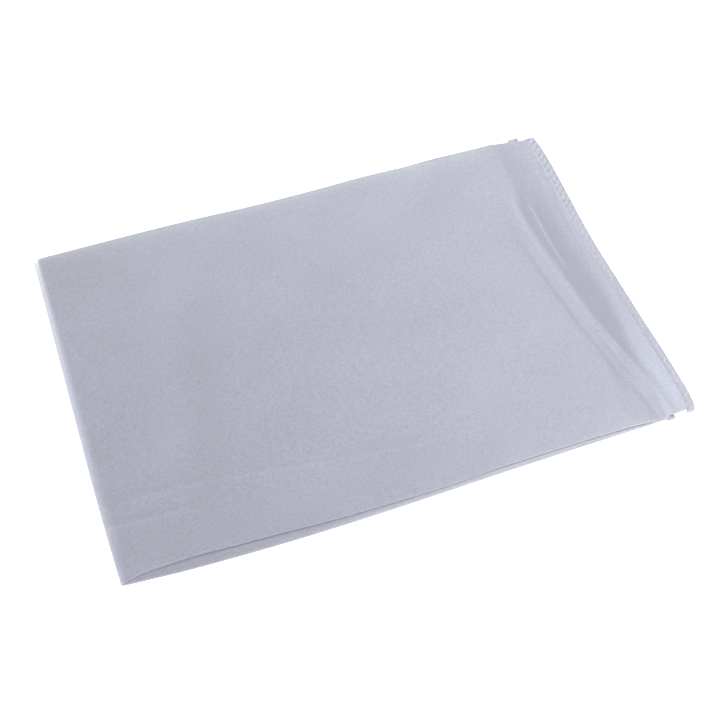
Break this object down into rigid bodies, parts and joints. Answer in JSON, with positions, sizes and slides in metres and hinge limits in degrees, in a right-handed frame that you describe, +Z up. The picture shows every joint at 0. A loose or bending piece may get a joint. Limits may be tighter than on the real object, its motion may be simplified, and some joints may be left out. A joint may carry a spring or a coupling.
{
  "type": "folded pocket square",
  "caption": "Plain silver-grey satin pocket square folded into a flat rectangle, with a soft fold on one side, stacked creases in front and a stitched hem on the other side.",
  "frame": {"origin": "middle of the folded outline, on the surface that the cloth lies on", "axes": "+X along the long side from the left fold to the hemmed end, +Y from the open front creases to the back crease, +Z up"},
  "size_m": [0.169, 0.1208, 0.0038],
  "materials": {
    "satin": "smooth silver-grey satin with a soft sheen and a very fine weave",
    "satin_inside": "the same satin between the folds, in shade",
    "satin_hem": "the same satin turned in twice, with small puckers along a row of matching stitches"
  },
  "bodies": {
    "root": {"outer_layer": "satin", "inner_layers": "satin_inside", "upper_hem": "satin_hem", "lower_hem": "satin_hem"}
  },
  "joints": []
}
